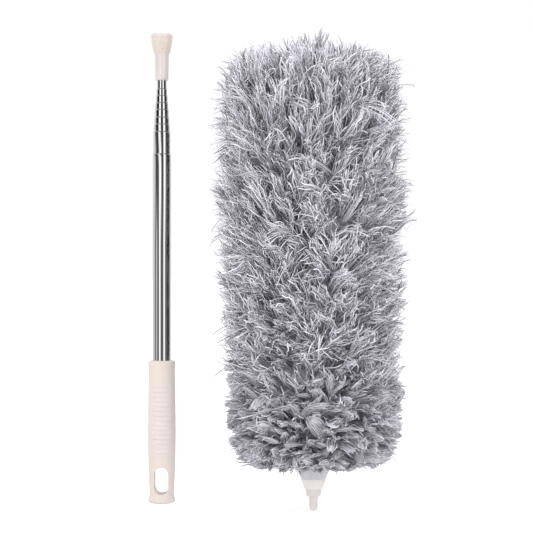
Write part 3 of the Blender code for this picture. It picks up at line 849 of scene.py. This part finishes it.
def grow(count, layer, seed_turn):
    """Tufts over the whole outline: flat bundles inside, fine curled strands over them."""
    share = (np.arange(count) + 0.5 + rng.uniform(-0.45, 0.45, count)) / count
    azimuth = (np.arange(count) * 2.399963 + seed_turn + rng.normal(0, 0.09, count)) % math.tau
    radius, height, end = on_outline(share)
    petal = petal_share(height)
    beat = np.stack([rng.uniform(1.4, 3.6, count), rng.uniform(0, math.tau, count), rng.uniform(0, math.tau, count)])
    length = rng.uniform(48, 62, count) * np.where(layer == 0, 1.0, 0.9)
    inset = rng.gamma(1.6, 2.2, count) - 2.0 if layer == 0 else rng.uniform(6, 20, count)
    bend = rng.normal(17, 9, count) * np.clip((88 - end) / 50, 0.1, 1)
    lean = rng.normal(0, 16, count)
    droop = rng.normal(0, 9, count)
    guides = make_guides(share, azimuth, length, inset, bend, lean, droop)
    tuft_tone = np.clip(rng.normal(0.50, 0.13, count), 0.1, 0.9)
    tuft_wide = rng.uniform(3.4, 7.4, count)
    tuft_deep = rng.uniform(2.2, 4.6, count)
    tuft_gather = rng.uniform(0.0, 0.55, count)
    tuft_hook = rng.uniform(0, math.tau, count)
    tuft_curl = rng.gamma(1.5, 3.8, count)

    # flat bundles of fibre
    per = 2
    tuft = np.repeat(np.arange(count), per)
    m = len(tuft)
    wide = rng.uniform(1.8, 3.2, m)
    batches.append(make_strands(
        guides, tuft, np.full(m, 0.12), rng.uniform(0.70, 0.92, m), rng.normal(0, 0.5, m) * tuft_wide[tuft],
        rng.normal(0, 0.5, m) * tuft_deep[tuft], tuft_gather[tuft] * 0.8, wide, rng.normal(0, 0.55, m),
        np.clip(tuft_tone[tuft] + rng.normal(-0.05, 0.10, m), 0, 1),
        [0, 0.2, 0.4, 0.58, 0.74, 0.88, 1.0], WIDE, 0.28, rng.uniform(0.3, 1.2, m), tuft_curl[tuft] * 0.8, 0.5,
        hook=tuft_hook[tuft]))
    # fine strands
    weight = (19.0 if layer == 0 else 10.0) * (1 - 0.88 * petal)
    number = rng.poisson(weight)
    tuft = np.repeat(np.arange(count), number)
    m = len(tuft)
    draw = rng.random(m)
    tone = np.clip(tuft_tone[tuft] + rng.normal(0.05, 0.15, m), 0, 0.92)
    # painted highlights and painted shade: 19 in 100 fine strands get near-white tones for lit strands, and 15 in 100
    # near-black tones for the shade between strands; the rest vary at random about their tuft's tone
    tone = np.where(draw < 0.19, rng.uniform(0.93, 1.0, m), np.where(draw > 0.85, rng.uniform(0.0, 0.18, m), tone))
    batches.append(make_strands(
        guides, tuft, np.full(m, 0.25), rng.uniform(0.80, 1.05, m), rng.normal(0, 0.62, m) * tuft_wide[tuft],
        rng.normal(0, 0.62, m) * tuft_deep[tuft], tuft_gather[tuft], rng.uniform(0.85, 1.55, m), rng.normal(0, 0.8, m),
        tone, [0, 0.17, 0.30, 0.41, 0.50, 0.58, 0.66, 0.73, 0.80, 0.86, 0.91, 0.96, 1.0], THIN, 0.3,
        rng.uniform(0.5, 2.0, m),
        tuft_curl[tuft] * rng.uniform(0.5, 1.5, m) + rng.gamma(1.2, 1.5, m), hook=tuft_hook[tuft], beat=beat[:, tuft]))


def grow_petals(count, deep, seed_turn):
    """Rounded petals at the head's foot: a lens-shaped pad of fibre with ridged yarns over both faces."""
    limit = np.interp(60.0, OUTLINE[:10, 1][1:], seg_cdf[1:10])
    share = (np.arange(count) + 0.5 + rng.uniform(-0.45, 0.45, count)) / count * limit
    azimuth = (np.arange(count) * 2.399963 + seed_turn + rng.normal(0, 0.1, count)) % math.tau
    keep = rng.random(count) < petal_share(on_outline(share)[1]) * 1.25
    share, azimuth = share[keep], azimuth[keep]
    count = len(share)
    guides = make_guides(
        share, azimuth, rng.uniform(30, 46, count), rng.gamma(1.5, 2.4, count) - 2.5 + deep * rng.uniform(0.6, 1.6, count),
        rng.normal(22, 14, count), rng.normal(0, 24, count), rng.normal(2, 15, count))
    tuft = np.arange(count)
    wide = rng.uniform(8.0, 15.0, count)
    roll = rng.normal(0, 0.6, count)
    tone = np.clip(rng.normal(0.40, 0.09, count), 0.15, 0.7)
    start, stop = np.full(count, 0.25), np.full(count, 1.0)
    zero = np.zeros(count)
    batches.append(make_strands(
        guides, tuft, start, stop * 0.97, zero, zero, zero, wide * 0.8, roll, np.clip(tone - 0.04, 0, 1),
        [0, 0.2, 0.38, 0.54, 0.68, 0.8, 0.89, 0.95, 0.985, 1.0], WIDE, 0.4, zero, zero, 0.4, True))
    per = 19
    each = np.repeat(tuft, per)
    j = np.tile(np.arange(per), count)
    x = (j + 0.5) / per * 2 - 1 + rng.normal(0, 0.07, len(each))
    face = np.where(j % 2 == 0, 1.0, -0.9)
    a = x * wide[each] / 2
    h = (np.clip(1 - x * x, 0, 1) * (0.08 * wide[each]) + 0.35) * face
    c, s = np.cos(roll[each]), np.sin(roll[each])
    m = len(each)
    draw = rng.random(m)
    tones = np.clip(tone[each] + rng.normal(0.04, 0.07, m), 0, 0.9)
    # painted highlights and painted shade: 6 in 100 yarns get near-white tones for lit yarns, and 10 in 100 near-black
    # tones for the shade between yarns; the rest vary at random about their petal's tone
    tones = np.where(draw < 0.06, rng.uniform(0.80, 1.0, m), np.where(draw > 0.90, rng.uniform(0.05, 0.2, m), tones))
    batches.append(make_strands(
        guides, each, start[each], stop[each] * rng.uniform(0.90, 1.04, m), a * c + h * s, a * s - h * c, np.zeros(m),
        rng.uniform(0.9, 1.5, m), roll[each] + rng.normal(0, 0.3, m), tones,
        [0, 0.18, 0.33, 0.46, 0.57, 0.67, 0.76, 0.84, 0.91, 0.96, 1.0], THIN, 0.3, rng.uniform(0.2, 0.8, m),
        rng.gamma(1.3, 0.9, m), fan=True))


grow(1050, 0, 0.0)
grow(700, 1, 1.3)
grow_petals(620, 0.0, 0.4)
grow_petals(330, 9.0, 2.2)

# stray single strands past the outline
count = 700
share = rng.random(count)
azimuth = rng.uniform(0, math.tau, count)
radius, height, end = on_outline(share)
guides = make_guides(share, azimuth, rng.uniform(34, 52, count), rng.uniform(-6.0, -0.5, count) * np.where(height < -30, 0.3, 1.0),
                     rng.normal(10, 12, count), rng.normal(0, 22, count), rng.normal(-8, 12, count))
tuft = np.arange(count)
zero = np.zeros(count)
batches.append(make_strands(
    guides, tuft, np.full(count, 0.3), np.full(count, 1.0), zero, zero, zero, rng.uniform(0.9, 1.6, count),
    rng.uniform(0, 3, count), rng.uniform(0.25, 0.95, count),
    [0, 0.18, 0.32, 0.44, 0.54, 0.63, 0.71, 0.79, 0.86, 0.93, 1.0], THIN, 0.3,
    rng.uniform(0.6, 2.2, count), rng.gamma(1.6, 4.0, count)))

# bands by the height of each strand's tip, split at SPLIT, a little above the middle of the head's two bend hinges:
# below it the bands take the place of the lower and middle piles, above it of the middle and upper piles
hinge_low = frame["joints"][[j["name"] for j in frame["joints"]].index("head_bend_lower")]
hinge_high = frame["joints"][[j["name"] for j in frame["joints"]].index("head_bend_upper")]
z_low, z_high = hinge_low["pos_m"][2], hinge_high["pos_m"][2]
SPLIT = (z_low + z_high) / 2 / MM + 9.0
tips = np.concatenate([pts[:, -1, 2] for pts, q, t, uv in batches])
faces = np.concatenate([np.full(len(pts), 2 * len(q) + len(t)) for pts, q, t, uv in batches])
cuts = [-1e9]
for side in (tips < SPLIT, tips >= SPLIT):
    order = np.argsort(tips[side])
    total = np.cumsum(faces[side][order])
    parts = math.ceil(total[-1] / 192000)
    cuts += [float(tips[side][order][np.searchsorted(total, total[-1] * i / parts)]) for i in range(1, parts)]
    cuts.append(float(SPLIT) if side[np.argmin(tips)] else 1e9)
limit_r = 98.0
for i in range(len(cuts) - 1):
    verts, quads, tris, uvs, base = [], [], [], [], 0
    for pts, q, t, uv in batches:
        tip_z = pts[:, -1, 2]
        pick = (tip_z >= cuts[i]) & (tip_z < cuts[i + 1])
        n, v = int(pick.sum()), pts.shape[1]
        if not n:
            continue
        verts.append(pts[pick].reshape(-1, 3))
        uvs.append(uv[pick].reshape(-1, 2))
        off = base + np.arange(n)[:, None, None] * v
        quads.append((q[None] + off).reshape(-1, 4))
        tris.append((t[None] + off).reshape(-1, 3))
        base += n * v
    verts = np.concatenate(verts)
    rho = np.hypot(verts[:, 0], verts[:, 1])
    over = rho > limit_r
    verts[over, :2] *= (limit_r / rho[over])[:, None]
    verts[:, 2] = np.clip(verts[:, 2], -54.0, 374.0)
    # the whole pile leans a little towards the pole, as photographed
    verts[:, 0] += head_x + 0.8 - 3.6 * np.clip((verts[:, 2] - 20.0) / 300.0, 0.0, 1.0)
    band = build_mesh(f"fibre_band_{i + 1:02d}", verts * MM, np.concatenate(quads), np.concatenate(tris), strand, np.concatenate(uvs))
    band.visible_glossy = False  # keeps the steel's bands clean, as the pole was photographed on its own
    if cuts[i + 1] <= SPLIT + 1e-6:
        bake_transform(band)
        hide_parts("fibre_pile_lower", "fibre_pile_middle")
    else:
        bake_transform(band)
        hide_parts("fibre_pile_middle", "fibre_pile_upper")


# the dense inner pile that the tufts stand in; its fibre is darker than the strands' tips, partly painted shade for the
# gaps between tufts
def under_mass(name, z0, z1):
    rows, sides = int((z1 - z0) / 2.6), 96
    zs = np.linspace(z1, z0, rows)
    outer = []
    for z in zs:
        share_r = np.interp(z, OUTLINE[:, 1][2:], OUTLINE[:, 0][2:])
        close = min(1.0, math.sqrt(max(0.02, 1 - max(0.0, (z - 250.0) / 72.0) ** 2)))
        foot = min(1.0, math.sqrt(max(0.05, 1 - max(0.0, (4.0 - z) / 44.0) ** 2)))
        outer.append((max(14.0, 0.60 * share_r * close * foot), z))
    profile = [(10.4, z1)] + outer + [(10.4, z0)]
    grid_a = np.arange(sides) * math.tau / sides

    def lumps(aa, rr, zz):
        h = (np.sin(7 * aa + zz * 0.21) * np.sin(zz * 0.33 + 2.1 * np.sin(3 * aa)) + 0.6 * np.sin(13 * aa - zz * 0.37)
             + 0.5 * np.sin(19 * aa + zz * 0.9))
        return np.where(rr > 12.0, rr + 1.9 * h, rr), zz

    obj = lathe(name, profile, under_fibre_painted_shade, axis_x=head_x, sides=sides, shape=lumps, sharp=180)
    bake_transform(obj)
    return obj


under_mass("inner_pile_low", -39.0, SPLIT - 0.2)
under_mass("inner_pile_high", SPLIT + 0.2, 322.0)

# ------------------------------------------------------------------ the studio
floor_z = cad_low.z - 0.0004
bpy.ops.mesh.primitive_plane_add(size=60.0, location=(0, 0, floor_z))
floor = bpy.context.object
floor.name = "studio_floor"
floor.visible_glossy = False  # the tubes mirror the studio, not the ground
mat, tree, shader = new_material("pale_floor")
f = noise(tree, object_point(tree), 9.0, 3.0)
tree.links.new(mix_colour(tree, f, (0.50, 0.50, 0.50), (0.53, 0.53, 0.53)), shader.inputs["Base Color"])
# a lit table: part of its light comes from below, which keeps the cast shadows faint
tree.links.new(mix_colour(tree, f, (0.97, 0.97, 0.97), (1.0, 1.0, 1.0)), shader.inputs["Emission Color"])
shader.inputs["Emission Strength"].default_value = 0.60
shader.inputs["Roughness"].default_value = 0.9
shader.inputs["Specular IOR Level"].default_value = 0.1
floor.data.materials.append(mat)

world = bpy.data.worlds.new("studio")
bpy.context.scene.world = world
world.use_nodes = True
tree = world.node_tree
tree.nodes.clear()
out = tree.nodes.new("ShaderNodeOutputWorld")
background = tree.nodes.new("ShaderNodeBackground")
coord = tree.nodes.new("ShaderNodeTexCoord")
sep = tree.nodes.new("ShaderNodeSeparateXYZ")
tree.links.new(coord.outputs["Generated"], sep.inputs[0])
dx, dy, dz = sep.outputs[0], sep.outputs[1], sep.outputs[2]
turn = maths(tree, "ARCTAN2", dx, maths(tree, "MULTIPLY", dy, -1.0))
turn = maths(tree, "MULTIPLY_ADD", turn, 0.5 / math.pi, 0.5)


def studio_bands(levels):
    return ramp(tree, turn, [(deg / 360 + 0.5, level) for deg, level in levels])


# what the steel mirrors: two tall soft boxes between black flags; the flags are blackest high up, and
# low down a pale strip stands in the left one
high_bands = studio_bands((
    (-180, 1.1), (-150, 0.9), (-106, 0.70), (-97, 0.5), (-90, 0.01), (-48, 0.01), (-42, 0.7), (-37, 1.3), (-18, 1.3), (-12, 0.5),
    (-6, 0.01), (19, 0.01), (24, 0.7), (29, 1.25), (44, 1.25), (53, 0.6), (60, 0.02), (98, 0.01), (108, 0.25), (130, 0.50),
    (150, 0.85), (180, 1.1),
))
mid_bands = studio_bands((
    (-180, 1.1), (-150, 0.95), (-106, 0.76), (-90, 0.62), (-80, 0.45), (-71, 0.05), (-58, 0.05), (-46, 0.10), (-34, 0.12),
    (-28, 0.9), (-23, 1.3), (-9, 1.3), (-2, 0.4), (4, 0.08), (16, 0.08), (23, 0.20), (30, 0.9), (35, 1.3), (45, 1.3), (52, 0.5),
    (60, 0.18), (74, 0.13), (88, 0.11), (100, 0.27), (120, 0.46), (150, 0.80), (180, 1.1),
))
low_bands = studio_bands((
    (-180, 1.1), (-150, 0.95), (-112, 0.66), (-94, 0.54), (-83, 0.30), (-77, 0.07), (-71, 0.07), (-67, 0.76), (-59, 0.80),
    (-54, 0.30), (-47, 0.05), (-37, 0.05), (-31, 0.6), (-27, 1.3), (-19, 1.3), (-12, 0.6), (-5, 0.11), (4, 0.10), (16, 0.12),
    (22, 0.40), (28, 1.3), (37, 1.25), (43, 0.5), (52, 0.14), (62, 0.13), (76, 0.16), (88, 0.20), (102, 0.38), (120, 0.55),
    (150, 0.85), (180, 1.1),
))
bands = mix_colour(tree, ramp(tree, dz, [(0.015, 0.0), (0.045, 1.0)]), low_bands, mid_bands)
bands = mix_colour(tree, ramp(tree, dz, [(0.070, 0.0), (0.092, 1.0)]), bands, high_bands)
up_light = ramp(tree, dz, [(0.45, 0.0), (0.8, 1.0)])
glossy = mix_colour(tree, up_light, bands, (0.55, 0.55, 0.55))
down_dark = ramp(tree, maths(tree, "MULTIPLY", dz, -1.0), [(0.68, 0.0), (0.84, 1.0)])
glossy = mix_colour(tree, down_dark, glossy, (0.03, 0.03, 0.03))
# the soft dome: dimmest at eye level, full overhead, a little stronger at the sides and behind
side = maths(tree, "MULTIPLY", dx, dx)
boost = maths(tree, "MULTIPLY_ADD", maths(tree, "MAXIMUM", dz, 0.0), 1.02, 0.66)
boost = maths(tree, "MULTIPLY_ADD", side, 0.24, boost)
boost = maths(tree, "MULTIPLY_ADD", maths(tree, "MAXIMUM", dy, 0.0), 0.44, boost)
tinted = mix_colour(tree, side, (1.0, 0.995, 0.99), (0.96, 0.965, 1.03))
n = tree.nodes.new("ShaderNodeVectorMath")
n.operation = "SCALE"
tree.links.new(tinted, n.inputs[0])
tree.links.new(boost, n.inputs["Scale"])
path = tree.nodes.new("ShaderNodeLightPath")
seen = mix_colour(tree, path.outputs["Is Glossy Ray"], n.outputs[0], glossy)
seen = mix_colour(tree, path.outputs["Is Camera Ray"], seen, (1.0, 1.0, 1.0))
tree.links.new(seen, background.inputs["Color"])
tree.links.new(background.outputs[0], out.inputs["Surface"])


def soft_light(name, where, aim, size, power, colour):
    data = bpy.data.lights.new(name, "AREA")
    data.shape = "RECTANGLE"
    data.size, data.size_y = size
    data.energy = power
    data.color = colour
    obj = bpy.data.objects.new(name, data)
    bpy.context.scene.collection.objects.link(obj)
    obj.location = where
    obj.rotation_euler = (Vector(aim) - Vector(where)).to_track_quat("-Z", "Y").to_euler()
    obj.visible_camera = False
    obj.visible_glossy = False
    return obj


centre = (cad_low + cad_high) / 2
soft_light("soft_left", (centre.x - 1.2, -0.8, centre.z + 0.5), centre, (0.9, 1.2), 3.7, (0.98, 0.985, 1.0))
soft_light("soft_right", (centre.x + 0.75, -1.3, centre.z + 0.45), centre, (0.9, 1.2), 7.5, (0.98, 0.985, 1.0))
soft_light("soft_top", (centre.x, 0.1, centre.z + 1.4), centre, (1.2, 1.2), 5.5, (1.0, 1.0, 1.0))

camera_data = bpy.data.cameras.new("camera")
camera = bpy.data.objects.new("camera", camera_data)
bpy.context.scene.collection.objects.link(camera)
camera_data.sensor_width = 36.0
camera_data.lens = 115.0
camera.location = (0.0984, -1.6, 0.1443)
camera.rotation_euler = (math.radians(90), 0, 0)
camera_data.clip_start, camera_data.clip_end = 0.01, 100.0
bpy.context.scene.camera = camera
